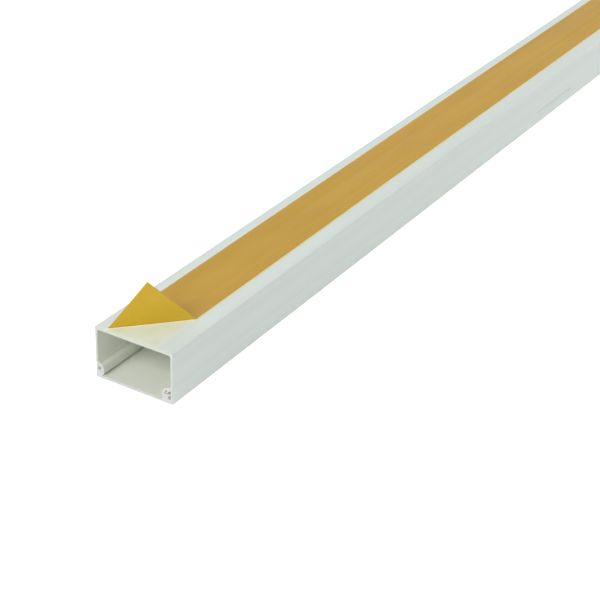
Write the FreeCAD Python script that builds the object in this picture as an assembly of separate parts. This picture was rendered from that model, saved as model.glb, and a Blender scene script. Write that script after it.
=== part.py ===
import FreeCAD, Part
import math
import os

os.makedirs("parts", exist_ok=True)

Vector = FreeCAD.Vector

# The raceway lies with its cover on the floor and its adhesive back upwards.
# X runs along the length, Z is up, and the origin is under the middle of the length,
# halfway across, on the outer face of the cover.
# Driving dimensions, in millimetres

LENGTH = 2000.0                  # one sold length
WIDTH = 40.0                     # across the outer faces of the side walls
HEIGHT = 25.0                    # from the cover's outer face to the bare back
OUTER_EDGE_RADIUS = 0.3          # on the four long outer edges

BACK_THICKNESS = 1.4
WALL_THICKNESS = 1.05
INNER_CORNER_RADIUS = 1.2        # where the walls meet the back, inside

COVER_THICKNESS = 1.2
COVER_SETBACK = 0.1              # how far each end of the cover stops short of the base's
FLANGE_THICKNESS = 1.1           # the cover's outer edge strip, flush with the wall
SEAM_HEIGHT = 7.4                # underside of the wall, above the cover's outer face
SEAM_GAP = 0.15                  # open line between wall and flange
CLIP_CLEARANCE = 0.2             # beside the base's tongue, on both its faces
SHOULDER_THICKNESS = 0.1         # flat edge of the ledge that carries the tongue
SHOULDER_SLOPE = 0.9             # rise of the ledge's sloping top

# Clip on the +Y side, the narrow one. An inset is measured inwards from the wall's outer face
NARROW_REACH = 4.35              # inset of the hook's belly
NARROW_HOOK_DROP = 0.3           # from the wall's underside down to the round hook's top
NARROW_SLIT = 0.3                # from the hook's lowest point down to the cover plate
NARROW_HOOK_ROOF = 0.7           # thickness of the hook at its top
NARROW_HOOK_BELLY = 1.35         # thickness of the hook at its belly
NARROW_ROOM_RADIUS = 1.7         # round room inside the hook
NARROW_UNDERCUT = 1.45           # how far the neck stands back under the belly
NARROW_ROOT_START = 0.6          # inset of the root's outer side, inside the edge strip
NARROW_TONGUE = 0.6              # thickness of the tongue's stem
NARROW_TONGUE_GAP = 0.2          # room between the tongue and the inside of the hook
NARROW_TIP_ANGLE = 35.0          # where the tip points, seen from the middle of the room, in degrees
NARROW_TIP_THICKNESS = 0.35
NARROW_TIP_ROOM = 1.6            # open height below the tip

# Clip on the -Y side, the deep one
DEEP_REACH = 5.75
DEEP_HOOK_DROP = 0.2
DEEP_SLIT = 0.1
DEEP_HOOK_ROOF = 0.85
DEEP_HOOK_BELLY = 1.4
DEEP_ROOM_RADIUS = 2.0
DEEP_UNDERCUT = 0.45
DEEP_ROOT_START = 2.3
DEEP_TONGUE = 1.6
DEEP_TONGUE_GAP = 0.4
DEEP_TIP_ANGLE = 35.0
DEEP_TIP_THICKNESS = 0.4
DEEP_TIP_ROOM = 0.6
DEEP_PIT_FLOOR = 1.9             # height of the floor of the pit beside the deep clip's root
DEEP_PIT_LIP = 0.45              # thickness of the lip over that pit

TIP_SLANT = 0.25                 # how far the tip's lower corner stands back from its upper one

# Tape on the back and its paper liner
TAPE_WIDTH = 27.0
TAPE_OFFSET = 1.15               # middle of the tape, towards the narrow clip's side
TAPE_THICKNESS = 0.35
LINER_THICKNESS = 0.15
PEEL_START = 1.4                 # how far the peeled corner reaches along the +Y edge
PEEL_LENGTH = 29.4               # how far it reaches along the -Y edge
PEEL_ANGLE = 94.0                # turn of the peeled corner from lying flat, in degrees
PEEL_BEND_RADIUS = 0.4           # inner radius of the paper at the fold

# Places worked out from the driving dimensions
NEAR_END = -LENGTH / 2
FAR_END = LENGTH / 2
HALF_WIDTH = WIDTH / 2
BACK_UNDERSIDE = HEIGHT - BACK_THICKNESS
FLANGE_TOP = SEAM_HEIGHT - SEAM_GAP
TONGUE_OUTER = FLANGE_THICKNESS + CLIP_CLEARANCE
TAPE_TOP = HEIGHT + TAPE_THICKNESS
TAPE_LOW_Y = TAPE_OFFSET - TAPE_WIDTH / 2
TAPE_HIGH_Y = TAPE_OFFSET + TAPE_WIDTH / 2


class Clip:
    """One of the two clips: a hook on the cover and the tongue of the base that it grips.

    Its points are (inset, height) pairs, where an inset runs inwards from the wall's outer face.
    """

    def __init__(self, side, hook, room, root, tongue):
        self.side = side
        reach, drop, slit = hook
        roof, belly, self.room_radius = room
        undercut, self.root_start = root
        stem, gap, tip_angle, tip_thickness, tip_room = tongue

        hook_top = SEAM_HEIGHT - drop
        self.radius = (hook_top - slit - COVER_THICKNESS) / 2
        self.centre = (reach - self.radius, hook_top - self.radius)
        self.room_centre = (reach - belly - self.room_radius, hook_top - roof - self.room_radius)
        self.neck_end = reach - undercut
        neck_side = self.radius - undercut
        self.neck_top = self.centre[1] - math.sqrt(self.radius ** 2 - neck_side ** 2)

        self.stem_inner = TONGUE_OUTER + stem
        self.mouth_end = self.stem_inner + CLIP_CLEARANCE
        angle = math.radians(tip_angle)
        tip_radius = self.room_radius - gap
        self.tip_top = (self.room_centre[0] + tip_radius * math.cos(angle),
                        self.room_centre[1] + tip_radius * math.sin(angle))
        self.tip_bottom = (self.tip_top[0] - TIP_SLANT, self.tip_top[1] - tip_thickness)
        mouth_side = self.mouth_end - self.room_centre[0]
        mouth_roof = self.room_centre[1] + math.sqrt(self.room_radius ** 2 - mouth_side ** 2)
        self.bend = (self.stem_inner, mouth_roof - gap)
        slope = (self.bend[1] - self.tip_top[1]) / (self.tip_top[0] - self.bend[0])
        heel_rise = slope * (self.tip_bottom[0] - TONGUE_OUTER)
        self.heel = (TONGUE_OUTER, self.tip_bottom[1] + heel_rise)
        self.root_top = self.tip_bottom[1] - tip_room


NARROW_CLIP = Clip(
    1,
    (NARROW_REACH, NARROW_HOOK_DROP, NARROW_SLIT),
    (NARROW_HOOK_ROOF, NARROW_HOOK_BELLY, NARROW_ROOM_RADIUS),
    (NARROW_UNDERCUT, NARROW_ROOT_START),
    (NARROW_TONGUE, NARROW_TONGUE_GAP, NARROW_TIP_ANGLE, NARROW_TIP_THICKNESS, NARROW_TIP_ROOM))
DEEP_CLIP = Clip(
    -1,
    (DEEP_REACH, DEEP_HOOK_DROP, DEEP_SLIT),
    (DEEP_HOOK_ROOF, DEEP_HOOK_BELLY, DEEP_ROOM_RADIUS),
    (DEEP_UNDERCUT, DEEP_ROOT_START),
    (DEEP_TONGUE, DEEP_TONGUE_GAP, DEEP_TIP_ANGLE, DEEP_TIP_THICKNESS, DEEP_TIP_ROOM))
CLIPS = (NARROW_CLIP, DEEP_CLIP)


def section_face(points):
    """Face across the length from (y, z) corners."""
    corners = [Vector(0, y, z) for y, z in points]
    return Part.Face(Part.makePolygon(corners + corners[:1]))


def rectangle(y_low, y_high, z_low, z_high):
    """Upright rectangle across the length."""
    return section_face([(y_low, z_low), (y_high, z_low), (y_high, z_high), (y_low, z_high)])


def rounded_rectangle(y_low, y_high, z_low, z_high, radius):
    """Upright rectangle across the length with its four corners rounded by true arcs."""
    diagonal = radius * (1 - math.sqrt(0.5))
    starts = [(y_low + radius, z_low), (y_high, z_low + radius),
              (y_high - radius, z_high), (y_low, z_high - radius)]
    ends = [(y_high - radius, z_low), (y_high, z_high - radius),
            (y_low + radius, z_high), (y_low, z_low + radius)]
    middles = [(y_high - diagonal, z_low + diagonal), (y_high - diagonal, z_high - diagonal),
               (y_low + diagonal, z_high - diagonal), (y_low + diagonal, z_low + diagonal)]
    edges = []
    for index in range(4):
        start = Vector(0, *starts[index])
        end = Vector(0, *ends[index])
        middle = Vector(0, *middles[index])
        following = Vector(0, *starts[(index + 1) % 4])
        edges.append(Part.LineSegment(start, end).toShape())
        edges.append(Part.Arc(end, middle, following).toShape())
    return Part.Face(Part.Wire(edges))


def clip_face(clip, points):
    """Face across the length from (inset, height) corners on the clip's side."""
    return section_face([(clip.side * (HALF_WIDTH - inset), height) for inset, height in points])


def clip_rectangle(clip, inset_low, inset_high, z_low, z_high):
    """Upright rectangle given by its insets from the outer face of the clip's wall."""
    return clip_face(clip, [(inset_low, z_low), (inset_high, z_low),
                            (inset_high, z_high), (inset_low, z_high)])


def disc(y, z, radius):
    """Round face across the length."""
    circle = Part.makeCircle(radius, Vector(0, y, z), Vector(1, 0, 0))
    return Part.Face(Part.Wire([circle]))


def joined(solids):
    """One solid from solids that touch or overlap."""
    return solids[0].multiFuse(solids[1:]).removeSplitter()


def drawn_out(section, ends):
    """Solid of a section carried along the length from one end to the other."""
    start, end = ends
    body = section.extrude(Vector(end - start, 0, 0))
    body.translate(Vector(start, 0, 0))
    return body


def outer_form(ends):
    """Outside of the closed raceway, with its long edges rounded."""
    outline = rounded_rectangle(-HALF_WIDTH, HALF_WIDTH, 0, HEIGHT, OUTER_EDGE_RADIUS)
    return drawn_out(outline, ends)


def base_cavity(ends):
    """Room inside the base, rounded where the walls meet the back."""
    half = HALF_WIDTH - WALL_THICKNESS
    rounded = rounded_rectangle(-half, half, 0, BACK_UNDERSIDE, INNER_CORNER_RADIUS)
    lower = rectangle(-half, half, -COVER_THICKNESS, BACK_UNDERSIDE / 2)
    return joined([drawn_out(rounded, ends), drawn_out(lower, ends)])


def base_tongue(clip, ends):
    """Ledge on the wall's lower end, with the tongue that hangs from it and bends inwards."""
    ledge_top = SEAM_HEIGHT + SHOULDER_THICKNESS
    wall_middle = WALL_THICKNESS / 2
    ledge = clip_face(clip, [
        (wall_middle, SEAM_HEIGHT), (clip.stem_inner, SEAM_HEIGHT), (clip.stem_inner, ledge_top),
        (WALL_THICKNESS, ledge_top + SHOULDER_SLOPE), (wall_middle, ledge_top + SHOULDER_SLOPE)])
    tongue = clip_face(clip, [
        (TONGUE_OUTER, ledge_top), (clip.stem_inner, ledge_top), clip.bend,
        clip.tip_top, clip.tip_bottom, clip.heel])
    return [drawn_out(face, ends) for face in (ledge, tongue)]


def cover_hook(clip, ends):
    """Curled leg that grips the tongue: a neck on the cover and a round hook that bends over the tip."""
    inset, height = clip.centre
    room_inset, room_height = clip.room_centre
    beyond = inset + 2 * clip.radius
    before = inset - 2 * clip.radius
    inside_plate = COVER_THICKNESS / 2

    belly = drawn_out(disc(clip.side * (HALF_WIDTH - inset), height, clip.radius), ends)
    above_neck = drawn_out(clip_rectangle(clip, before, beyond, clip.neck_top, HEIGHT), ends)
    room = drawn_out(disc(clip.side * (HALF_WIDTH - room_inset), room_height, clip.room_radius), ends)
    above_root = drawn_out(clip_rectangle(clip, before, beyond, clip.root_top, HEIGHT), ends)
    mouth = drawn_out(clip_rectangle(clip, before, clip.mouth_end, clip.root_top, HEIGHT), ends)
    beside_root = drawn_out(clip_rectangle(clip, before, clip.root_start, 0, clip.root_top), ends)
    neck_face = clip_rectangle(clip, clip.root_start, clip.neck_end, inside_plate, clip.neck_top)

    hook = belly.common(above_neck).cut(room.common(above_root)).cut(mouth).cut(beside_root)
    return [hook, drawn_out(neck_face, ends)]


def deep_pit(ends):
    """Floor of the pit between the edge strip and the deep clip's root, and the lip over the pit."""
    inside_root = (DEEP_CLIP.root_start + DEEP_CLIP.neck_end) / 2
    top = DEEP_CLIP.root_top
    floor = clip_rectangle(DEEP_CLIP, FLANGE_THICKNESS / 2, inside_root, COVER_THICKNESS / 2, DEEP_PIT_FLOOR)
    lip = clip_rectangle(DEEP_CLIP, TONGUE_OUTER, inside_root, top - DEEP_PIT_LIP, top)
    return [drawn_out(face, ends) for face in (floor, lip)]


def base_channel():
    """The U-shaped base, open downwards where the cover closes it."""
    ends = (NEAR_END, FAR_END)
    upper = drawn_out(rectangle(-WIDTH, WIDTH, SEAM_HEIGHT, 2 * HEIGHT), ends)
    shell = outer_form(ends).common(upper).cut(base_cavity(ends))
    solids = [shell]
    for clip in CLIPS:
        solids += base_tongue(clip, ends)
    return joined(solids)


def snap_cover():
    """The cover, a little shorter than the base at both ends."""
    ends = (NEAR_END + COVER_SETBACK, FAR_END - COVER_SETBACK)
    half = HALF_WIDTH - FLANGE_THICKNESS
    lower = drawn_out(rectangle(-WIDTH, WIDTH, -HEIGHT, FLANGE_TOP), ends)
    room = drawn_out(rectangle(-half, half, COVER_THICKNESS, HEIGHT), ends)
    solids = [outer_form(ends).common(lower).cut(room)]
    for clip in CLIPS:
        solids += cover_hook(clip, ends)
    return joined(solids + deep_pit(ends))


def adhesive_tape():
    """Thin double-sided tape along the back."""
    return Part.makeBox(LENGTH, TAPE_WIDTH, TAPE_THICKNESS, Vector(NEAR_END, TAPE_LOW_Y, HEIGHT))


def release_liner():
    """Paper on the tape, with its near end turned up along a slanting fold."""
    fold_start = Vector(NEAR_END + PEEL_START, TAPE_HIGH_Y, TAPE_TOP)
    fold_end = Vector(NEAR_END + PEEL_LENGTH, TAPE_LOW_Y, TAPE_TOP)
    corner = Vector(NEAR_END, TAPE_LOW_Y, TAPE_TOP)
    stub = Vector(NEAR_END, TAPE_HIGH_Y, TAPE_TOP)
    up = Vector(0, 0, 1)
    along = (fold_end - fold_start).normalize()
    outward = along.cross(up)
    if outward.dot(corner - fold_start) < 0:
        outward = -outward

    flat_outline = [fold_start, Vector(FAR_END, TAPE_HIGH_Y, TAPE_TOP),
                    Vector(FAR_END, TAPE_LOW_Y, TAPE_TOP), fold_end, fold_start]
    flat = Part.Face(Part.makePolygon(flat_outline)).extrude(up * LINER_THICKNESS)

    bend_centre = fold_start + up * (LINER_THICKNESS + PEEL_BEND_RADIUS)
    strip = Part.Face(Part.makePolygon([
        fold_start, fold_end, fold_end + up * LINER_THICKNESS,
        fold_start + up * LINER_THICKNESS, fold_start]))
    axis = outward.cross(up)
    bend = strip.revolve(bend_centre, axis, PEEL_ANGLE)

    corner_outline = [fold_start, fold_end, corner, stub, fold_start]
    corner_piece = Part.Face(Part.makePolygon(corner_outline)).extrude(up * LINER_THICKNESS)
    corner_piece.rotate(bend_centre, axis, PEEL_ANGLE)

    over_tape = Part.makeBox(LENGTH, TAPE_WIDTH, HEIGHT + TAPE_WIDTH, Vector(NEAR_END, TAPE_LOW_Y, 0))
    return joined([flat, bend, corner_piece]).common(over_tape)


PIECES = {
    "base_channel": base_channel,
    "snap_cover": snap_cover,
    "adhesive_tape": adhesive_tape,
    "release_liner": release_liner,
}

for name, build in PIECES.items():
    piece = build()
    piece.exportStep("parts/" + name + ".step")
    box = piece.BoundBox
    corners = [round(value, 2) for value in (box.XMin, box.YMin, box.ZMin, box.XMax, box.YMax, box.ZMax)]
    print(name, "valid", piece.isValid(), "solids", len(piece.Solids), "volume", round(piece.Volume, 1),
          "box", corners)
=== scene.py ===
import logging
import math
from dataclasses import dataclass, field
from enum import Enum

import bpy
import numpy as np
from mathutils import Matrix, Vector
from numpy.typing import NDArray


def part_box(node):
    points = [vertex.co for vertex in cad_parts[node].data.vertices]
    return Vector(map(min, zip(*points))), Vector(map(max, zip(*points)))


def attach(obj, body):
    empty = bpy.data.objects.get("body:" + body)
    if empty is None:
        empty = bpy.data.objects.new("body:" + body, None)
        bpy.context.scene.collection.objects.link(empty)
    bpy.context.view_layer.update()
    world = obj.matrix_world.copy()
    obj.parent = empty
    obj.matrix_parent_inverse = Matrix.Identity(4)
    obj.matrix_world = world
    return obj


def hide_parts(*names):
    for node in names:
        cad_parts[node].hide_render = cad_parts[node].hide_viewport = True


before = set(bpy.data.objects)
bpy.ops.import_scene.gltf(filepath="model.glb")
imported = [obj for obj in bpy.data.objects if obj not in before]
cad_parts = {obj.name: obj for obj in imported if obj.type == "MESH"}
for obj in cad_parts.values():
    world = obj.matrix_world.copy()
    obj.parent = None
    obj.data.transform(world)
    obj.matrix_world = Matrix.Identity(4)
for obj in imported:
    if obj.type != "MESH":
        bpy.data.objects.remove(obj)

# The raceway lies on its cover with the adhesive back upwards. X runs along its length, away
# from the end with the peeled corner, and Z is up. Sections are worked out in millimetres.

Array = NDArray[np.float64]
Colour = tuple[int, int, int]
Pair = tuple[float, float]
Triple = tuple[float, float, float]
Line = tuple[Array, Array]
Socket = bpy.types.NodeSocket
Feeds = dict[str | int, Socket | float | tuple[float, ...]]
Material = bpy.types.Material
Piece = bpy.types.Object
MM = 0.001
TINY = 1e-9
SAME_POINT = 1e-4
NOISE_SPAN = (0.3, 0.7)
WHITE = (1.0, 1.0, 1.0, 1.0)
BODY = "root"
log = logging.getLogger("raceway")


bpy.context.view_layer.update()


class ClipSide(Enum):
    """The two clips, by the side of the raceway that each is on."""

    NARROW = 1
    DEEP = -1


class Skin(Enum):
    """Places on a piece that carry a finish of their own, by material slot."""

    FACE = 0
    CUT = 1


def added(name: str, data: bpy.types.ID) -> Piece:
    """New object at the origin, linked to the scene.

    Args:
        name: Name of the object.
        data: Mesh, light or camera that it shows.

    Returns:
        The object.
    """
    piece = bpy.data.objects.new(name, data)
    bpy.context.scene.collection.objects.link(piece)
    return piece


def linear(colour: Colour) -> tuple[float, float, float, float]:
    """Scene-linear colour of an 8-bit display colour.

    Args:
        colour: Red, green and blue from 0 to 255.

    Returns:
        The linear colour with an alpha of one.
    """
    share = np.array(colour) / 255.0
    value = np.where(share <= 0.04045, share / 12.92, ((share + 0.055) / 1.055) ** 2.4)
    return (*value.tolist(), 1.0)


def smooth(value: Array) -> Array:
    """Smooth step: three times the square less twice the cube of a value held between 0 and 1."""
    held = np.clip(value, 0.0, 1.0)
    return held * held * (3.0 - 2.0 * held)


def arc(centre: Pair, radius: float, start: float, end: float, count: int) -> Array:
    """Points of a circle's arc.

    Each is the centre plus the radius times the cosine and the sine of one of the angles, which
    are evenly spaced.

    Args:
        centre: Middle of the circle.
        radius: Its radius.
        start: First angle, in radians.
        end: Last angle, in radians.
        count: Number of points.

    Returns:
        The points, one row each.
    """
    angle = np.linspace(start, end, count)
    return np.array(centre) + radius * np.stack([np.cos(angle), np.sin(angle)], axis=1)


def eased(points: Array, radii: Array, steps: int = 5, most: float = 0.45) -> Array:
    """Closed outline with its corners rounded.

    Each corner is replaced by an arc that touches both of its sides. The arc starts at the
    radius times the tangent of half the turn from the corner.

    Args:
        points: Corners of the outline, in order.
        radii: Radius at each corner. Zero leaves the point as it is.
        steps: Points on each arc.
        most: Largest share of the shorter side that an arc may reach along.

    Returns:
        The rounded outline, without repeated points.
    """
    before = points - np.roll(points, 1, axis=0)
    after = np.roll(points, -1, axis=0) - points
    length_before = np.linalg.norm(before, axis=1)
    length_after = np.linalg.norm(after, axis=1)
    way_in = before / length_before[:, None]
    way_out = after / length_after[:, None]
    cross = way_in[:, 0] * way_out[:, 1] - way_in[:, 1] * way_out[:, 0]
    turn = np.arctan2(cross, (way_in * way_out).sum(axis=1))
    half_tangent = np.tan(np.abs(turn) / 2)
    reach = np.minimum(radii * half_tangent, most * np.minimum(length_before, length_after))
    radius = reach / np.maximum(half_tangent, TINY)
    normal = np.stack([-way_in[:, 1], way_in[:, 0]], axis=1) * np.sign(turn)[:, None]
    start = points - way_in * reach[:, None]
    centre = start + normal * radius[:, None]
    spoke = start - centre
    angle = turn[:, None] * np.linspace(0.0, 1.0, steps)[None, :]
    x = spoke[:, :1] * np.cos(angle) - spoke[:, 1:] * np.sin(angle)
    y = spoke[:, :1] * np.sin(angle) + spoke[:, 1:] * np.cos(angle)
    rounded = (centre[:, None, :] + np.stack([x, y], axis=2)).reshape(-1, 2)
    gap = np.linalg.norm(rounded - np.roll(rounded, 1, axis=0), axis=1)
    return rounded[gap > SAME_POINT]


def divided(points: Array, longest: float, support: float) -> Array:
    """Closed outline with its long sides divided.

    A side over four times as long as the support gets a point that far from each end, which
    keeps its shading flat. Every side is then cut into equal parts no longer than the longest.

    Args:
        points: Points of the outline, in order.
        longest: Longest part that is left.
        support: Distance of the supporting points from a side's ends.

    Returns:
        The divided outline.
    """
    after = np.roll(points, -1, axis=0) - points
    length = np.linalg.norm(after, axis=1)
    share = np.where(length > 4 * support, support / np.maximum(length, TINY), 0.0)
    near = points + after * share[:, None]
    far = points + after * (1 - share)[:, None]
    doubled = np.stack([points, near, far], axis=1).reshape(-1, 2)
    gap = np.linalg.norm(doubled - np.roll(doubled, -1, axis=0), axis=1)
    supported = doubled[gap > SAME_POINT]
    after = np.roll(supported, -1, axis=0) - supported
    parts = np.maximum(np.ceil(np.linalg.norm(after, axis=1) / longest).astype(int), 1)
    first = np.repeat(supported, parts, axis=0)
    step = np.repeat(after / parts[:, None], parts, axis=0)
    count = np.arange(parts.sum()) - np.repeat(np.cumsum(parts) - parts, parts)
    return first + step * count[:, None]


def drawn_in(outline: Array, depth: float) -> Array:
    """Closed outline with each point moved inwards along its normal.

    Args:
        outline: Points, in anticlockwise order.
        depth: How far they move.

    Returns:
        The moved points.
    """
    along = np.roll(outline, -1, axis=0) - np.roll(outline, 1, axis=0)
    along /= np.linalg.norm(along, axis=1)[:, None]
    return outline + depth * np.stack([-along[:, 1], along[:, 0]], axis=1)


def anticlockwise(outline: Array) -> Array:
    """Closed outline turned so that its signed area is positive."""
    doubled_area = np.linalg.det(np.stack([outline, np.roll(outline, -1, axis=0)], axis=1)).sum()
    return outline if doubled_area > 0 else outline[::-1]


@dataclass(frozen=True)
class SectionSizes:
    """Sizes of the raceway's section, in millimetres."""

    width: float = 40.0
    height: float = 25.0
    outer_edge: float = 0.3
    back: float = 1.4
    wall: float = 1.05
    inner_corner: float = 1.2
    cover: float = 1.2
    flange: float = 1.1
    seam: float = 7.4
    seam_gap: float = 0.03
    seam_edge: float = 0.05
    flange_lean: float = 0.16
    clearance: float = 0.2
    shown_gap: float = 0.06
    shoulder: float = 0.1
    shoulder_slope: float = 0.9
    tip_slant: float = 0.25
    broken_edge: float = 0.14
    wall_bow: float = 0.05
    back_bow: float = 0.12
    bow_wave: float = 620.0
    bow_phase: float = 0.8
    bow_swell: float = 0.35
    back_start: float = 0.75
    back_fade: float = 0.2

    @property
    def half(self) -> float:
        """Half of the width."""
        return self.width / 2

    def bowed(self, points: Array) -> Array:
        """Points of the section moved as the thin walls bow inwards.

        A wall moves inwards by its bow times the cube of its share of the half width and the
        sine of its share of the height above the seam. The back sinks by its bow times the
        squared cosine across the width, and a smooth step of the height spares what lies lower.
        Both swell and fade slowly along the length, as one plus a small sine wave.

        Args:
            points: Rows of x, y and z in millimetres.

        Returns:
            The moved points.
        """
        x, y, z = points[..., 0], points[..., 1], points[..., 2]
        swell = 1.0 + self.bow_swell * np.sin(2 * np.pi * x / self.bow_wave + self.bow_phase)
        rise = np.clip((z - self.seam) / (self.height - self.seam), 0.0, 1.0)
        inward = self.wall_bow * swell * (y / self.half) ** 3 * np.sin(np.pi * rise)
        high = smooth((z - self.back_start * self.height) / (self.back_fade * self.height))
        across = np.cos(np.pi * np.clip(y / self.width, -0.5, 0.5)) ** 2
        sink = self.back_bow * swell * across * high
        return np.stack([x, y - inward, z - sink], axis=-1)


@dataclass(frozen=True)
class ClipSizes:
    """Sizes of one clip, in millimetres. Insets run inwards from the wall's outer face."""

    side: ClipSide
    reach: float
    drop: float
    slit: float
    roof: float
    belly: float
    room: float
    undercut: float
    root_start: float
    pit_floor: float
    stem: float
    gap: float
    tip_thickness: float
    tip_room: float
    tip_angle: float = 35.0
    sill: float = 0.0
    fullness: float = 2.0
    heel_drop: float = 0.0


NARROW_CLIP = ClipSizes(
    side=ClipSide.NARROW, reach=4.1, drop=0.3, slit=0.3, roof=0.7, belly=1.35, room=1.7,
    undercut=1.45, root_start=0.6, pit_floor=1.2, stem=0.6, gap=0.2, tip_thickness=0.35,
    tip_room=1.6, fullness=4.0)
DEEP_CLIP = ClipSizes(
    side=ClipSide.DEEP, reach=5.75, drop=0.2, slit=0.1, roof=0.85, belly=1.4, room=2.0,
    undercut=0.45, root_start=2.3, pit_floor=1.9, stem=1.6, gap=0.4, tip_thickness=0.4,
    tip_room=0.6, sill=0.45, heel_drop=0.35)


@dataclass(frozen=True)
class Clip:
    """Lines of one clip, worked out from its sizes and the section's."""

    section: SectionSizes
    sizes: ClipSizes
    room_points: int = 14
    outside_points: int = 30

    @property
    def radius(self) -> float:
        """Outside radius of the hook: half of what is left between its top and the slit."""
        section = self.section
        return (section.seam - self.sizes.drop - self.sizes.slit - section.cover) / 2

    @property
    def centre(self) -> Pair:
        """Inset and height of the round hook's centre."""
        return (self.sizes.reach - self.radius, self.section.seam - self.sizes.drop - self.radius)

    @property
    def room(self) -> Pair:
        """Inset and height of the centre of the round room inside the hook."""
        sizes = self.sizes
        return (sizes.reach - sizes.belly - sizes.room,
                self.section.seam - sizes.drop - sizes.roof - sizes.room)

    @property
    def stem_outer(self) -> float:
        """Inset of the tongue's outer face, which all but touches the flange."""
        return self.section.flange + self.section.shown_gap

    @property
    def stem_inner(self) -> float:
        """Inset of the tongue's inner face."""
        return self.section.flange + self.section.clearance + self.sizes.stem

    @property
    def mouth(self) -> float:
        """Inset of the hook's free end, which all but touches the tongue."""
        return self.stem_inner + self.section.shown_gap

    @property
    def tip(self) -> tuple[Pair, Pair]:
        """Corners of the tongue's tip, which keeps the gap from the room's round wall.

        Returns:
            Inset and height of the upper and of the lower corner.
        """
        angle = math.radians(self.sizes.tip_angle)
        radius = self.sizes.room - self.sizes.gap
        top = (self.room[0] + radius * math.cos(angle), self.room[1] + radius * math.sin(angle))
        return top, (top[0] - self.section.tip_slant, top[1] - self.sizes.tip_thickness)

    @property
    def bend(self) -> float:
        """Height at which the tongue's inner face turns inwards, below the hook's free end."""
        return (self.room[1] + math.sqrt(self.sizes.room ** 2 - (self.mouth - self.room[0]) ** 2)
                - self.sizes.gap)

    @property
    def heel(self) -> float:
        """Height of the tongue's outer corner.

        Returns:
            The height where its underside runs along its upper face, less the heel's drop.
        """
        top, bottom = self.tip
        slope = (self.bend - top[1]) / (top[0] - self.stem_inner)
        return bottom[1] + slope * (bottom[0] - self.stem_outer) - self.sizes.heel_drop

    @property
    def root_top(self) -> float:
        """Height of the root's top, below the tip."""
        return self.tip[1][1] - self.sizes.tip_room

    def outside(self) -> Array:
        """Outside of the hook, from its free end to the neck.

        It is a circle down to its widest place. Below that, the radius is scaled by the cosine
        and the sine of the angle, each to the power of two over the fullness. It ends where it
        has curved back by the undercut.

        Returns:
            Insets and heights, one row for each point.
        """
        (inset, height), power = self.centre, 2.0 / self.sizes.fullness
        narrowed = 1.0 - self.sizes.undercut / self.radius
        angle = np.linspace(math.acos((self.mouth - inset) / self.radius),
                            -math.acos(narrowed ** (1.0 / power)), self.outside_points)
        cosine, sine = np.cos(angle), np.sin(angle)
        lower = sine < 0
        cosine = np.where(lower, np.abs(cosine) ** power, cosine)
        sine = np.where(lower, -np.abs(sine) ** power, sine)
        return np.stack([inset + self.radius * cosine, height + self.radius * sine], axis=1)

    def placed(self, line: Array) -> Array:
        """Line of insets and heights as places across the width and heights."""
        across = self.sizes.side.value * (self.section.half - line[:, 0])
        return np.stack([across, line[:, 1]], axis=1)

    def tongue(self) -> Line:
        """Line of the wall's lower end, from its outer face round the tongue to its inner face.

        Returns:
            The placed corners and the radius at each.
        """
        section = self.section
        ledge = section.seam - self.sizes.drop + section.shoulder
        top, bottom = self.tip
        line = np.array([
            (0.0, section.seam), (self.stem_outer, section.seam),
            (self.stem_outer, self.heel), bottom, top,
            (self.stem_inner, self.bend), (self.stem_inner, ledge),
            (section.wall, ledge + section.shoulder_slope)])
        edge = section.broken_edge
        radii = np.array([section.seam_edge, edge, edge, edge, edge, 2 * edge, 2 * edge, 3 * edge])
        return self.placed(line), radii

    def hook(self) -> Line:
        """Line of the cover's edge, from the flange's outer top round the hook to the plate.

        The hook's round room and its outside each have their own centre, and the free end joins
        them. The outside ends on the neck, and the room ends on the root.

        Returns:
            The placed corners and the radius at each.
        """
        section, sizes = self.section, self.sizes
        edge = section.broken_edge
        top = section.seam - section.seam_gap
        side = section.flange + section.clearance
        sill = self.root_top - sizes.sill
        flange = [(section.flange_lean, top, section.seam_edge), (section.flange, top, edge)]
        pit = [(section.flange, sizes.pit_floor, edge), (sizes.root_start, sizes.pit_floor, edge),
               (sizes.root_start, sill, edge), (side, sill, edge), (side, self.root_top, edge)]
        shelf = [(section.flange, self.root_top, 2 * edge)]
        start = np.array(flange + (pit if sizes.root_start > section.flange else shelf))
        room = arc(self.room, sizes.room, math.asin((self.root_top - self.room[1]) / sizes.room),
                   math.acos((self.mouth - self.room[0]) / sizes.room), self.room_points)
        curves = np.concatenate([room, self.outside()])
        curve_radii = np.zeros(len(curves))
        curve_radii[[0, len(room) - 1, len(room)]] = edge
        neck = [(sizes.reach - sizes.undercut, section.cover)]
        line = np.concatenate([start[:, :2], curves, neck])
        return self.placed(line), np.concatenate([start[:, 2], curve_radii, [3 * edge]])


@dataclass(frozen=True)
class Stations:
    """Places along the length where a section is drawn, in millimetres.

    The eases are the distances of close places from each end, counted in end eases.
    """

    start: float
    end: float
    step: float = 20.0
    end_ease: float = 0.04
    eases: tuple[float, ...] = (0.25, 1.0, 4.0, 30.0, 60.0)
    dense: Triple | None = None

    def values(self) -> Array:
        """Both ends, some places close inside each, even steps, and any dense stretch.

        Returns:
            The sorted places.
        """
        count = int(math.ceil((self.end - self.start) / self.step)) + 1
        spread = np.linspace(self.start, self.end, count)
        ease = np.array(self.eases) * self.end_ease
        near = np.array([self.start + ease, self.end - ease]).ravel()
        extra = np.arange(*self.dense) if self.dense else np.empty(0)
        return np.unique(np.round(np.concatenate([spread, near, extra]), 4))


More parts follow.
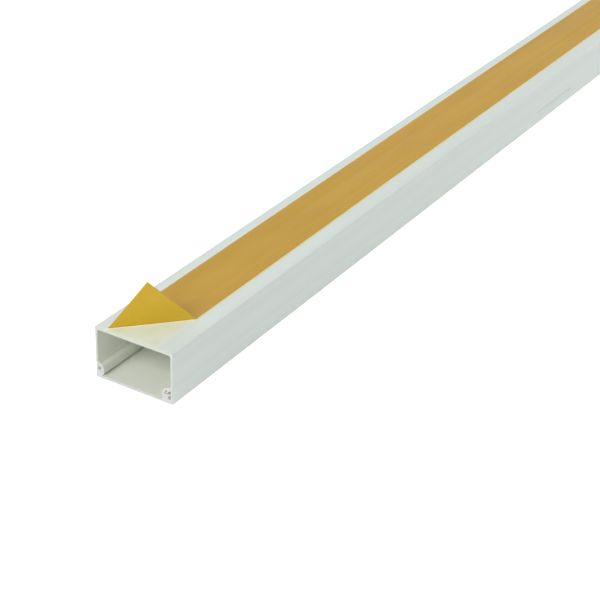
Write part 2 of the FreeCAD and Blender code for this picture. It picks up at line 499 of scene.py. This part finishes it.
@dataclass(frozen=True)
class Mesher:
    """Makes one mesh object, with its finishes, from arrays of points and faces."""

    name: str
    finishes: tuple[Material, ...]

    def build(self, points: Array, faces: list[list[int]], skins: NDArray[np.int32],
              flat: NDArray[np.bool_], marks: dict[str, Array]) -> Piece:
        """Object at the origin, with its place in its mesh and a material slot for each finish.

        Args:
            points: Rows of x, y and z in millimetres.
            faces: Vertex numbers of each face, anticlockwise from outside.
            skins: Material slot of each face.
            flat: True for a face that is shaded flat.
            marks: Named numbers, one for each point.

        Returns:
            The linked object.
        """
        mesh = bpy.data.meshes.new(self.name)
        mesh.from_pydata((points * MM).tolist(), [], faces)
        mesh.polygons.foreach_set("material_index", skins)
        mesh.polygons.foreach_set("use_smooth", ~flat)
        for label, values in marks.items():
            attribute = mesh.attributes.new(label, "FLOAT", "POINT")
            attribute.data.foreach_set("value", values.astype(np.float32))
        mesh.validate()
        mesh.update()
        for finish in self.finishes:
            mesh.materials.append(finish)
        return added(self.name, mesh)

    def sweep(self, rows: Array, marks: dict[str, Array]) -> Piece:
        """Closed solid from a grid of points: one row for each place along the length.

        Side faces join each row to the next, and one face closes each end. The first and last
        strip of faces belong to the saw cut.

        Args:
            rows: Points of shape (places, points round the section, 3). They run anticlockwise
                seen from +X.
            marks: Named numbers of shape (places, points round the section).

        Returns:
            The linked object.
        """
        places, count = rows.shape[:2]
        index = np.arange(places * count).reshape(places, count)
        beside = np.roll(index, -1, axis=1)
        quads = np.stack([index[:-1], beside[:-1], beside[1:], index[1:]], axis=2).reshape(-1, 4)
        faces = quads.tolist() + [index[0, ::-1].tolist(), index[-1].tolist()]
        skins = np.full(len(faces), Skin.FACE.value, np.int32)
        skins[:count] = skins[len(quads) - count:] = Skin.CUT.value
        flat = np.zeros(len(faces), bool)
        flat[-2:] = True
        flatten = {label: values.ravel() for label, values in marks.items()}
        return self.build(rows.reshape(-1, 3), faces, skins, flat, flatten)


class Wiring:
    """Nodes of one material, or of the world, joined to its shader."""

    def __init__(self, owner: Material | bpy.types.World, values: Feeds,
                 shader: str = "Principled BSDF") -> None:
        """Starts on the nodes of a new material or world.

        Args:
            owner: The material or the world.
            values: What feeds each socket of its shader.
            shader: Name of the shader's node.
        """
        self.owner = owner
        owner.use_nodes = True
        self.tree = owner.node_tree
        self.shader = self.tree.nodes[shader]
        self.feed(self.shader, values)

    def feed(self, node: bpy.types.Node, values: Feeds) -> None:
        """Sets or links sockets of a node.

        Args:
            node: The node.
            values: Value for each socket, or the socket that it is linked from.
        """
        for name, value in values.items():
            if isinstance(value, Socket):
                self.tree.links.new(value, node.inputs[name])
            else:
                node.inputs[name].default_value = value

    def node(self, kind: str, values: Feeds, **settings: object) -> bpy.types.Node:
        """Adds a node.

        Args:
            kind: Type of the node.
            values: What feeds each of its sockets.
            settings: Value of each property.

        Returns:
            The node.
        """
        made = self.tree.nodes.new(kind)
        for name, value in settings.items():
            setattr(made, name, value)
        self.feed(made, values)
        return made

    def noise(self, scale: Triple, detail: float = 2.0, rough: float = 0.5) -> Socket:
        """Cloudy noise in object coordinates.

        Args:
            scale: Cells a metre along each axis.
            detail: Number of finer layers.
            rough: Strength of each layer by the one before.

        Returns:
            The noise, about 0.5 on average.
        """
        coordinates = self.node("ShaderNodeTexCoord", {}).outputs["Object"]
        place = self.node("ShaderNodeMapping", {"Vector": coordinates, "Scale": scale})
        values = {"Vector": place.outputs["Vector"], "Scale": 1.0, "Detail": detail,
                  "Roughness": rough}
        return self.node("ShaderNodeTexNoise", values).outputs["Fac"]

    def spread(self, source: Socket, span: Pair, out: Pair) -> Socket:
        """Value stretched from one span to another, and held inside it."""
        ends = dict(zip(("From Min", "From Max", "To Min", "To Max"), span + out))
        return self.node("ShaderNodeMapRange", {"Value": source} | ends).outputs["Result"]

    def mark(self, label: str) -> Socket:
        """Number that the mesh carries at each point."""
        return self.node("ShaderNodeAttribute", {}, attribute_name=label).outputs["Fac"]

    def tint(self, share: Socket, first: Socket | Colour, second: Colour) -> Socket:
        """Blend from a first colour to a second by a share."""
        values = {"Factor": share, "A": first if isinstance(first, Socket) else linear(first),
                  "B": linear(second)}
        return self.node("ShaderNodeMix", values, data_type="RGBA").outputs["Result"]

    def mottled(self, noise: Socket, span: Pair, most: float,
                first: Socket | Colour, second: Colour) -> Socket:
        """Blend from a first colour to at most a share of a second, as a noise rises in a span."""
        return self.tint(self.spread(noise, span, (0.0, most)), first, second)

    def finish(self, colour: Socket, noise: Socket, roughness: Pair,
               *bumps: tuple[Socket, float]) -> Material:
        """Feeds the shader a colour, a roughness that follows a noise, and relief.

        Args:
            colour: Base colour.
            noise: Noise that the roughness follows.
            roughness: Lowest and highest roughness.
            bumps: Height and depth in metres of each bump, the uppermost one first.

        Returns:
            The finished material.
        """
        dull = self.spread(noise, NOISE_SPAN, roughness)
        self.feed(self.shader, {"Base Color": colour, "Roughness": dull})
        above = self.shader
        for height, depth in bumps:
            bump = self.node("ShaderNodeBump", {"Height": height, "Distance": depth})
            self.feed(above, {"Normal": bump.outputs["Normal"]})
            above = bump
        return self.owner

    def seen_strength(self, unseen: float, seen: float) -> Socket:
        """Strength for what the camera sees, also mirrored or through glass, and for other rays.

        Args:
            unseen: Strength for the rays that only light the scene.
            seen: Strength for rays from the camera, mirrored rays and those through glass.

        Returns:
            The strength's socket.
        """
        path = self.node("ShaderNodeLightPath", {})
        found = path.outputs["Is Camera Ray"]
        for kind in ("Is Glossy Ray", "Is Transmission Ray"):
            either = {0: found, 1: path.outputs[kind]}
            found = self.node("ShaderNodeMath", either, operation="MAXIMUM").outputs["Value"]
        return self.spread(found, (0.0, 1.0), (unseen, seen))


@dataclass(frozen=True)
class ExtrudedPlastic:
    """White rigid plastic, smooth from the die, with faint lines along its length."""

    name: str = "white_extruded_plastic"
    colour: Colour = (223, 232, 227)
    shade: Colour = (216, 226, 220)
    # Inner: painted light, a brighter and warmer colour for the faces inside the channel, in place
    # of the light that falls there.
    inner: Colour = (235, 238, 227)
    roughness: Pair = (0.36, 0.42)
    line_depth: float = 0.000018
    peel_depth: float = 0.000006

    def material(self) -> Material:
        """Die lines and broad bands along the length, with a fine orange peel.

        Returns:
            The finished material.
        """
        wiring = Wiring(bpy.data.materials.new(self.name), {"IOR": 1.53})
        bands = wiring.noise((0.8, 190.0, 190.0), detail=2.0)
        clouds = wiring.noise((14.0, 34.0, 34.0), detail=3.0)
        lines = wiring.noise((1.5, 1700.0, 1700.0), detail=3.0, rough=0.6)
        peel = wiring.noise((900.0, 1300.0, 1300.0), detail=1.0)
        colour = wiring.mottled(bands, (0.35, 0.65), 0.5, self.colour, self.shade)
        colour = wiring.mottled(clouds, (0.45, 0.75), 0.4, colour, self.shade)
        # Painted light: faces inside the channel are tinted brighter and warmer, standing in for
        # the light inside it.
        colour = wiring.tint(wiring.mark("inside"), colour, self.inner)
        return wiring.finish(colour, bands, self.roughness,
                             (peel, self.peel_depth), (lines, self.line_depth))


@dataclass(frozen=True)
class SawnShadedPlastic:
    """The same plastic where the saw has cut it, duller, with fine tooth marks and painted shade.
    """

    name: str
    colour: Colour
    shade: Colour
    roughness: Pair = (0.5, 0.7)
    tooth_depth: float = 0.00005
    grain_depth: float = 0.00002

    def material(self) -> Material:
        """Tooth marks that lean across the cut, broken up by a fine grain.

        Returns:
            The finished material.
        """
        wiring = Wiring(bpy.data.materials.new(self.name), {"IOR": 1.53})
        marks = wiring.noise((30.0, 260.0, 2600.0), detail=3.0, rough=0.65)
        grain = wiring.noise((2400.0, 2400.0, 2400.0), detail=2.0)
        colour = wiring.mottled(marks, (0.42, 0.7), 0.9, self.colour, self.shade)
        return wiring.finish(colour, grain, self.roughness,
                             (grain, self.grain_depth), (marks, self.tooth_depth))


@dataclass(frozen=True)
class TackyAdhesive:
    """Pale adhesive film, slightly glossy and pebbled, thinned and thickened at its edges."""

    name: str = "pale_adhesive"
    colour: Colour = (228, 235, 218)
    shade: Colour = (221, 227, 203)
    thin: Colour = (226, 234, 226)
    # Edge: a bright cream painted highlight on the adhesive beside the liner's edges and on the
    # ridge by the fold.
    edge: Colour = (250, 240, 186)
    roughness: Pair = (0.3, 0.5)
    pebble_depth: float = 0.00007
    streak_depth: float = 0.00003

    def material(self) -> Material:
        """Long coating streaks over a soft pebble.

        Returns:
            The finished material.
        """
        wiring = Wiring(bpy.data.materials.new(self.name), {"IOR": 1.47})
        streaks = wiring.noise((12.0, 420.0, 420.0), detail=3.0)
        pebble = wiring.noise((1100.0, 1100.0, 1100.0), detail=2.0)
        clouds = wiring.noise((90.0, 90.0, 90.0), detail=3.0)
        colour = wiring.mottled(clouds, (0.35, 0.7), 1.0, self.colour, self.shade)
        colour = wiring.tint(wiring.mark("thin"), colour, self.thin)
        # Painted highlight: bright cream along the covered edges and on the ridge beside the fold.
        colour = wiring.tint(wiring.mark("edge"), colour, self.edge)
        return wiring.finish(colour, pebble, self.roughness,
                             (streaks, self.streak_depth), (pebble, self.pebble_depth))


@dataclass(frozen=True)
class LinerPaper:
    """Amber release paper: one face of it, with fibres and long coating streaks."""

    name: str
    colour: Colour
    shade: Colour
    fleck: Colour
    roughness: Pair
    fibre_depth: float = 0.000014
    cloud_depth: float = 0.00012

    def material(self) -> Material:
        """Broad clouds, streaks along the length and fine fibres, with a few darker flecks.

        Returns:
            The finished material.
        """
        wiring = Wiring(bpy.data.materials.new(self.name), {"IOR": 1.45})
        clouds = wiring.noise((16.0, 60.0, 60.0), detail=4.0, rough=0.55)
        streaks = wiring.noise((2.2, 300.0, 300.0), detail=4.0, rough=0.6)
        fibres = wiring.noise((700.0, 2600.0, 2600.0), detail=3.0, rough=0.6)
        flecks = wiring.noise((900.0, 1500.0, 1500.0), detail=1.0)
        colour = wiring.mottled(clouds, (0.38, 0.68), 0.75, self.colour, self.shade)
        colour = wiring.mottled(streaks, (0.45, 0.75), 0.3, colour, self.shade)
        colour = wiring.mottled(flecks, (0.68, 0.8), 0.5, colour, self.fleck)
        return wiring.finish(colour, streaks, self.roughness,
                             (clouds, self.cloud_depth), (fibres, self.fibre_depth))


@dataclass
class Extrusions:
    """The base and the cover, each one section drawn out along the length."""

    section: SectionSizes = field(default_factory=SectionSizes)
    setback: float = 0.1
    longest_side: float = 2.2
    support: float = 0.16
    gape_start: float = 361.0
    gape_end: float = 413.0
    gape_fade: float = 3.0
    gape_drop: float = 0.85
    gape_in: float = 0.5
    gape_margin: float = 4.0
    gape_step: float = 1.0
    depth_share: float = 0.9

    def __post_init__(self) -> None:
        """Reads the ends from the frame and works out the two clips."""
        low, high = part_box("base_channel")
        self.near, self.far = low.x / MM, high.x / MM
        self.narrow = Clip(self.section, NARROW_CLIP)
        self.deep = Clip(self.section, DEEP_CLIP)

    def outline(self, narrow: Line, deep: Line, level: float, inner: list[Pair]) -> Array:
        """Closed anticlockwise outline, with its corners rounded and its long sides divided.

        It runs along the outer face and through the deep clip and the inside to the narrow clip.

        Args:
            narrow: Placed corners of the narrow clip's line, and the radius at each.
            deep: The same for the deep clip.
            level: Height of the outer face.
            inner: Corners on the inside, between the clips.

        Returns:
            The outline's points.
        """
        section = self.section
        outer = [(section.half, level), (-section.half, level)]
        points = np.concatenate(
            [narrow[0][:1], outer, deep[0], np.reshape(inner, (-1, 2)), narrow[0][:0:-1]])
        radii = np.concatenate([narrow[1][:1], [section.outer_edge] * 2, deep[1],
                                [section.inner_corner] * len(inner), narrow[1][:0:-1]])
        return anticlockwise(divided(eased(points, radii), self.longest_side, self.support))

    def gaped(self, points: Array) -> Array:
        """Points of the cover, its deep-side edge strip sprung down and in for a short stretch.

        Both moves fade over a few millimetres at the ends of the stretch. They grow with the
        square of the height, so only the strip's upper edge moves.

        Args:
            points: Rows of x, y and z in millimetres.

        Returns:
            The moved points.
        """
        section = self.section
        x, y, z = points[..., 0], points[..., 1], points[..., 2]
        start, end = self.near + self.gape_start, self.near + self.gape_end
        along = smooth((x - start) / self.gape_fade) * smooth((end - x) / self.gape_fade)
        strip = (y < section.shown_gap - section.half + section.flange) & (z > section.cover)
        rise = strip * (z / section.seam) ** 2
        moved = [x, y + self.gape_in * along * rise, z - self.gape_drop * along * rise]
        return np.stack(moved, axis=-1)

    def rows(self, outline: Array, stations: Stations) -> Array:
        """Grid of the section's points at each place, the outline drawn in a little at both ends.

        Args:
            outline: Closed outline across the width and the height.
            stations: Places along the length. The end ease is how far it is drawn in.

        Returns:
            Points of shape (places, points round the section, 3).
        """
        places, ease = stations.values(), stations.end_ease
        from_end = np.minimum(places - places[0], places[-1] - places)
        share = np.clip(1.0 - from_end / ease, 0.0, 1.0)[:, None, None] ** 2
        across = outline * (1 - share) + drawn_in(outline, ease) * share
        along = np.broadcast_to(places[:, None, None], (*across.shape[:2], 1))
        return self.section.bowed(np.concatenate([along, across], axis=2))

    def dressed(self, name: str, rows: Array, inside: Array, finishes: tuple[Material, Material],
                node: str) -> Piece:
        """Swept solid with its two finishes, standing for a node of the frame.

        Args:
            name: Name of the piece.
            rows: Grid of points.
            inside: True where a point faces the channel; these points take the painted light of
                the inside.
            finishes: Finish of the long faces, and of the two ends.
            node: Node that the piece replaces.

        Returns:
            The finished piece.
        """
        piece = Mesher(name, finishes).sweep(rows, {"inside": inside.astype(float)})
        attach(piece, BODY)
        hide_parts(node)
        return piece

    def base(self) -> Piece:
        """The base, with its back up and its tongues reaching down into the clips.

        Returns:
            The finished piece.
        """
        section, share = self.section, self.depth_share
        inner_y, inner_z = section.half - section.wall, section.height - section.back
        outline = self.outline(self.narrow.tongue(), self.deep.tongue(), section.height,
                               [(-inner_y, inner_z), (inner_y, inner_z)])
        rows = self.rows(outline, Stations(self.near, self.far))
        # Points inside the channel are marked for the plastic's painted light.
        within = np.abs(rows[..., 1]) < section.half - share * section.wall
        below = rows[..., 2] < section.height - share * section.back
        return self.dressed("channel_extrusion", rows, within & below, (PLASTIC, SAWN_SHADED_BASE),
                            "base_channel")

    def cover(self) -> Piece:
        """The cover on the floor, a little shorter than the base, with its two hooks.

        Returns:
            The finished piece.
        """
        section, share = self.section, self.depth_share
        dense = (self.near + self.gape_start - self.gape_margin,
                 self.near + self.gape_end + self.gape_margin, self.gape_step)
        stations = Stations(self.near + self.setback, self.far - self.setback, dense=dense)
        outline = self.outline(self.narrow.hook(), self.deep.hook(), 0.0, [])
        rows = self.gaped(self.rows(outline, stations))
        # Points inside the channel are marked for the plastic's painted light.
        within = np.abs(rows[..., 1]) < section.half - share * section.flange
        above = rows[..., 2] > share * section.cover
        return self.dressed("cover_extrusion", rows, within & above, (PAINTED_LIGHT_COVER_PLASTIC, SAWN_SHADED_COVER),
                            "snap_cover")


@dataclass(frozen=True)
class Peel:
    """Ends of the liner's fold, and the distance of its edges from the tape's, in millimetres."""

    start: float = 1.15
    length: float = 29.3
    narrow_margin: float = 0.35
    deep_margin: float = 0.4

    def line(self, low: Vector, high: Vector) -> tuple[Array, Array, Array]:
        """Where the fold line runs on the tape.

        Args:
            low: Lowest corner of the tape.
            high: Highest corner of the tape.

        Returns:
            The line's start on the narrow clip's side, its direction, and the direction from it
            to the loose corner.
        """
        start = np.array([low.x + self.start, high.y - self.narrow_margin])
        end = np.array([low.x + self.length, low.y + self.deep_margin])
        along = (end - start) / np.linalg.norm(end - start)
        return start, along, np.array([along[1], -along[0]])


@dataclass
class OnTape:
    """What the tape and its liner share: the section, the peel and the tape's place."""

    section: SectionSizes = field(default_factory=SectionSizes)
    peel: Peel = field(default_factory=Peel)

    def __post_init__(self) -> None:
        """Reads the tape's place from the frame."""
        self.low, self.high = (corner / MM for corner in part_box("adhesive_tape"))


@dataclass
class Adhesive(OnTape):
    """The double-sided tape along the back."""

    edge_round: float = 0.12
    under_round: float = 0.02
    longest_side: float = 0.45
    support: float = 0.1
    step: float = 6.0
    end_ease: float = 0.05
    fold_step: float = 0.25
    fold_margin: float = 2.0
    wander: float = 0.09
    wander_length: float = 37.0
    slow_length: float = 4.3
    wander_power: int = 5
    phases: Pair = (0.4, 2.1)
    covered_skirt: float = 0.12
    bare_skirt: float = 1.7
    edge_height: float = 0.12
    bare_height: float = 0.55
    thin_edge: float = 3.4
    # Width of the painted highlight along the adhesive's covered edges.
    tinted_edge: float = 0.6
    ridge_place: float = 0.7
    ridge_width: float = 0.5
    ridge_height: float = 0.14

    def edge(self, x: Array, phase: float) -> Array:
        """Inward wander of an edge: two sine waves of unlike length, from none to all of it.

        Args:
            x: Places along the length.
            phase: Phase of the waves.

        Returns:
            How far the edge lies inwards at each place.
        """
        wave = np.sin(2 * np.pi * x / self.wander_length + phase)
        slow = np.sin(2 * np.pi * x / (self.slow_length * self.wander_length) + 2 * phase)
        return self.wander * (0.5 + 0.25 * wave + 0.25 * slow)

    def grid(self) -> Array:
        """Points of the strip: its outline drawn along the length, with edges that wander.

        A point moves inwards by its edge's wander times a power of its share of the half width.
        The places are close together from the near end to past the fold.

        Returns:
            Points of shape (places, points round the section, 3).
        """
        corners = np.array([(self.low.y, self.low.z), (self.high.y, self.low.z),
                            (self.high.y, self.high.z), (self.low.y, self.high.z)])
        radii = np.array([self.under_round] * 2 + [self.edge_round] * 2)
        outline = anticlockwise(divided(eased(corners, radii), self.longest_side, self.support))
        fold = np.arange(self.low.x, self.low.x + self.peel.length + self.fold_margin,
                         self.fold_step)
        stations = Stations(self.low.x, self.high.x, self.step, self.end_ease)
        x = np.unique(np.concatenate([stations.values(), fold]))
        middle = (self.low.y + self.high.y) / 2
        side = (outline[:, 0] - middle) / (self.high.y - middle)
        left, right = (self.edge(x, phase)[:, None] for phase in self.phases)
        inward = np.where(side[None, :] > 0, left, right)
        across = outline[None, :, 0] - inward * side[None, :] ** self.wander_power
        grid = np.broadcast_arrays(x[:, None], across, outline[None, :, 1])
        return np.stack(grid, axis=2)

    def strip(self) -> Piece:
        """Thin strip on the bowed back, thinned to a soft skirt where the liner is peeled off.

        The height above the back is scaled by a smooth step of the distance from the edges over
        the skirt. The skirt is wide where the adhesive is bare and narrow under the liner, and
        changes within half a millimetre of the fold. The peel has drawn up a low ridge beside
        the fold, a bell curve of the distance from it.

        Returns:
            The finished piece.
        """
        rows = self.grid()
        y, z = rows[..., 1], rows[..., 2]
        start, _, outward = self.peel.line(self.low, self.high)
        distance = (rows[..., :2] - start) @ outward
        bare = smooth(0.5 + distance)
        skirt = self.covered_skirt + (self.bare_skirt - self.covered_skirt) * bare
        from_edge = np.minimum(y - self.low.y, self.high.y - y)
        from_end = np.where(bare > 0.5, rows[..., 0] - self.low.x, self.bare_skirt)
        inset = np.minimum(from_edge, from_end)
        share = self.edge_height + (1.0 - self.edge_height) * smooth(inset / skirt)
        share = share * (1.0 - (1.0 - self.bare_height) * bare)
        ridge = np.exp(-((distance - self.ridge_place) / self.ridge_width) ** 2)
        on_top = smooth((z - self.low.z) / (self.high.z - self.low.z))
        rows[..., 2] = self.low.z + (z - self.low.z) * share + self.ridge_height * ridge * on_top
        # The edge mark carries the painted highlight along the covered edges and on the ridge
        # beside the fold.
        edge = np.maximum((1.0 - bare) * smooth(1.0 - from_edge / self.tinted_edge), ridge)
        thin = bare * smooth(1.0 - from_edge / self.thin_edge)
        mesher = Mesher("tape_strip", (ADHESIVE,) * len(Skin))
        piece = mesher.sweep(self.section.bowed(rows), {"edge": edge, "thin": thin})
        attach(piece, BODY)
        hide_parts("adhesive_tape")
        return piece


@dataclass
class Liner(OnTape):
    """The release paper, flat on the tape but for the corner that is peeled up."""

    thickness: float = 0.13
    lift: float = 0.012
    narrow_end: float = 1.1
    deep_end: float = 0.75
    peel_angle: float = 97.0
    bend_length: float = 0.7
    curl: float = 3.0
    ridge: float = 0.22
    ridge_length: float = 5.0
    curl_start: float = 2.0
    curl_length: float = 18.0
    fold_length: float = 39.0
    reach: float = 40.0
    samples: int = 4001
    columns: int = 61
    flap_rows: int = 64
    flap_power: float = 1.6
    flat_rows: int = 190
    flat_power: float = 2.0

    def __post_init__(self) -> None:
        """Sets the liner's edges just inside the tape's."""
        super().__post_init__()
        self.low_y = self.low.y + self.peel.deep_margin
        self.high_y = self.high.y - self.peel.narrow_margin
        self.level = self.high.z + self.lift

    def unfolded(self) -> Array:
        """The flat sheet as a grid, each column at one place across the width.

        A column's rows run from the near edge, which is cut a little askew, to the fold line and
        on to the far end. Their steps shrink towards the fold on both sides, with powers of an
        even share.

        Returns:
            Points of shape (rows, columns, 2).
        """
        across = np.linspace(0.0, 1.0, self.columns)
        fold = self.low.x + self.peel.start + (self.peel.length - self.peel.start) * across
        near = self.low.x + self.narrow_end + (self.deep_end - self.narrow_end) * across
        flap_share = np.linspace(1.0, 0.0, self.flap_rows) ** self.flap_power
        flat_share = np.linspace(0.0, 1.0, self.flat_rows)[1:] ** self.flat_power
        flap = fold[None] + flap_share[:, None] * (near - fold)[None]
        flat = fold[None] + flat_share[:, None] * (self.high.x - fold)[None]
        x = np.concatenate([flap, flat])
        y = np.broadcast_to(self.high_y + (self.low_y - self.high_y) * across, x.shape)
        return np.stack([x, y], axis=2)

    def folded(self, sheet: Array) -> Array:
        """The sheet turned up along the fold line.

        Beyond the fold, the paper's slope grows evenly over the bend to the peel angle and then
        slowly by the curl. Its distance out and its height are the running sums of the cosine
        and the sine of that slope. On the flat side it rises in a low ridge that fades with the
        distance from the fold.

        Args:
            sheet: Flat points of shape (rows, columns, 2).

        Returns:
            Points of shape (rows, columns, 3).
        """
        start, along, outward = self.peel.line(self.low, self.high)
        from_start = sheet - start
        distance = from_start @ outward
        table = np.linspace(0.0, self.reach, self.samples)
        slope = np.radians(self.peel_angle) * smooth(table / self.bend_length)
        slope += np.radians(self.curl) * smooth((table - self.curl_start) / self.curl_length)
        step = table[1] - table[0]
        out = np.concatenate([[0.0], np.cumsum(np.cos(slope[:-1]) * step)])
        rise = np.concatenate([[0.0], np.cumsum(np.sin(slope[:-1]) * step)])
        on_flap = np.maximum(distance, 0.0)
        moved = np.where(distance > 0, np.interp(on_flap, table, out), distance)
        height = np.interp(on_flap, table, rise)
        behind = np.maximum(-distance, 0.0)
        fade = np.exp(-behind / self.ridge_length) * (behind / self.ridge_length) * math.e
        share = np.clip((from_start @ along) / self.fold_length, 0.0, 1.0)
        height = height + self.ridge * fade * np.sin(np.pi * share) ** 2 * (distance < 0)
        flat = start + (from_start @ along)[..., None] * along + moved[..., None] * outward
        return np.concatenate([flat, (self.level + height)[..., None]], axis=2)

    def paper(self) -> Piece:
        """Sheet with its thickness, its two faces and its pale cut rim.

        Returns:
            The finished piece.
        """
        rows = self.section.bowed(self.folded(self.unfolded()))
        index = np.arange(rows[..., 0].size).reshape(rows.shape[:2])
        quads = np.stack([index[:-1, :-1], index[:-1, 1:], index[1:, 1:], index[1:, :-1]], axis=2)
        faces = quads.reshape(-1, 4).tolist()
        skins, flat = np.zeros(len(faces), np.int32), np.zeros(len(faces), bool)
        mesher = Mesher("liner_paper", (PAPER_TOP, PAPER_RELEASE, PAPER_RIM))
        piece = mesher.build(rows.reshape(-1, 3), faces, skins, flat, {})
        solid = piece.modifiers.new("thickness", "SOLIDIFY")
        solid.thickness = self.thickness * MM
        solid.offset = 1.0
        solid.material_offset = 1
        solid.material_offset_rim = 2
        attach(piece, BODY)
        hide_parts("release_liner")
        return piece


@dataclass(frozen=True)
class Lamp:
    """One soft panel of light."""

    name: str
    place: Triple
    aim: Triple
    size: float
    power: float

    def hang(self) -> None:
        """Adds the panel, facing its aim."""
        data = bpy.data.lights.new(self.name, "AREA")
        data.shape = "SQUARE"
        data.size = self.size
        data.energy = self.power
        lamp = added(self.name, data)
        lamp.location = self.place
        facing = Vector(self.aim) - Vector(self.place)
        lamp.rotation_euler = facing.to_track_quat("-Z", "Y").to_euler()


@dataclass
class Studio:
    """Plain pale floor, soft light all round and a camera at the photograph's angle."""

    world_strength: float = 0.33
    floor_size: float = 30.0
    floor_glow: float = 0.6
    floor_colour: tuple[float, ...] = (0.9, 0.9, 0.9, 1.0)
    camera_place: Triple = (-1.46217, -0.35285, 0.37348)
    heading: float = 30.6005
    pitch: float = -29.4813
    roll: float = 2.237
    lens: float = 97.669
    sensor: float = 36.0
    clip: Pair = (0.05, 60.0)
    lamps: tuple[Lamp, ...] = (
        Lamp("front_panel", (-3.0, 0.2, 1.35), (-1.0, 0.0, 0.0), 1.7, 45.0),
        Lamp("top_panel", (-0.4, -0.7, 1.9), (-0.6, 0.0, 0.0), 1.6, 7.5),
        Lamp("side_panel", (0.4, -1.0, 0.2), (0.0, 0.0, 0.0), 0.9, 4.5),
        Lamp("back_panel", (0.0, 1.7, 0.45), (0.0, 0.0, 0.0), 0.9, 9.0),
        Lamp("end_panel", (2.3, -0.9, 0.7), (1.0, 0.0, 0.0), 1.0, 6.0),
    )

    def floor(self) -> None:
        """Square of white floor at the height that the cover rests on."""
        half = self.floor_size / 2
        corners = [(x * half, y * half, 0.0) for x, y in ((-1, -1), (1, -1), (1, 1), (-1, 1))]
        mesh = bpy.data.meshes.new("studio_floor")
        mesh.from_pydata(corners, [], [(0, 1, 2, 3)])
        mesh.materials.append(self.floor_finish())
        floor = added("studio_floor", mesh)

    def floor_finish(self) -> Material:
        """White matt floor that glows where it is seen or mirrored, and keeps its shadows.

        Returns:
            The finished material.
        """
        wiring = Wiring(bpy.data.materials.new("studio_floor"), {
            "Base Color": self.floor_colour, "Roughness": 0.9, "Specular IOR Level": 0.1,
            "Emission Color": WHITE})
        glow = wiring.seen_strength(0.0, self.floor_glow)
        wiring.feed(wiring.shader, {"Emission Strength": glow})
        return wiring.owner

    def world(self) -> None:
        """Even white surroundings: bright where they are seen or mirrored, softer as a light."""
        world = bpy.data.worlds.new("studio_world")
        wiring = Wiring(world, {"Color": WHITE}, "Background")
        strength = wiring.seen_strength(self.world_strength, 1.0)
        wiring.feed(wiring.shader, {"Strength": strength})
        bpy.context.scene.world = world

    def camera(self) -> None:
        """Camera turned by its heading from +X, then by its pitch, and rolled about its sight."""
        data = bpy.data.cameras.new("photo_camera")
        data.lens = self.lens
        data.sensor_width = self.sensor
        data.clip_start, data.clip_end = self.clip
        camera = added("photo_camera", data)
        turn = (Matrix.Rotation(math.radians(self.heading - 90.0), 3, "Z")
                @ Matrix.Rotation(math.radians(90.0 + self.pitch), 3, "X")
                @ Matrix.Rotation(math.radians(self.roll), 3, "Z"))
        camera.matrix_world = Matrix.Translation(self.camera_place) @ turn.to_4x4()
        bpy.context.scene.camera = camera

    def set_up(self) -> None:
        """Floor, surroundings, lamps and camera."""
        bpy.context.scene.view_settings.view_transform = "Standard"
        self.floor()
        self.world()
        for lamp in self.lamps:
            lamp.hang()
        self.camera()


PLASTIC = ExtrudedPlastic().material()
# The cover is painted a little lighter than the base: painted light that offsets the shade low on
# the side, where the cover's flange shows.
PAINTED_LIGHT_COVER_PLASTIC = ExtrudedPlastic(
    "white_cover_plastic_painted_light", colour=(226, 235, 229), shade=(219, 229, 222)).material()
# The sawn ends are painted darker than the long faces: painted shade on the end faces, over the
# real tooth marks and grain.
SAWN_SHADED_BASE = SawnShadedPlastic(
    "sawn_base_plastic_painted_shade", colour=(206, 211, 201), shade=(195, 200, 189)).material()
SAWN_SHADED_COVER = SawnShadedPlastic(
    "sawn_cover_plastic_painted_shade", colour=(207, 209, 206), shade=(197, 199, 195)).material()
ADHESIVE = TackyAdhesive().material()
PAPER_TOP = LinerPaper(
    "liner_amber_face", colour=(200, 156, 43), shade=(189, 145, 36), fleck=(166, 121, 27),
    roughness=(0.42, 0.55)).material()
# The release face is a more saturated yellow than the top face: partly the coated face's own
# colour, partly painted light shining through the thin raised flap.
PAPER_RELEASE = LinerPaper(
    "liner_release_face", colour=(206, 170, 32), shade=(199, 162, 28), fleck=(184, 146, 26),
    roughness=(0.3, 0.42)).material()
PAPER_RIM = LinerPaper(
    "liner_cut_rim", colour=(236, 214, 150), shade=(228, 204, 136), fleck=(214, 186, 112),
    roughness=(0.6, 0.7)).material()


def main() -> None:
    """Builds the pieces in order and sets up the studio."""
    logging.basicConfig(level=logging.INFO, format="%(name)s: %(message)s")
    extrusions = Extrusions()
    for piece in (extrusions.base(), extrusions.cover(), Adhesive().strip(), Liner().paper()):
        mesh = piece.data
        log.info("%s: %d points, %d faces", piece.name, len(mesh.vertices), len(mesh.polygons))
    Studio().set_up()


if __name__ == "__main__":
    main()
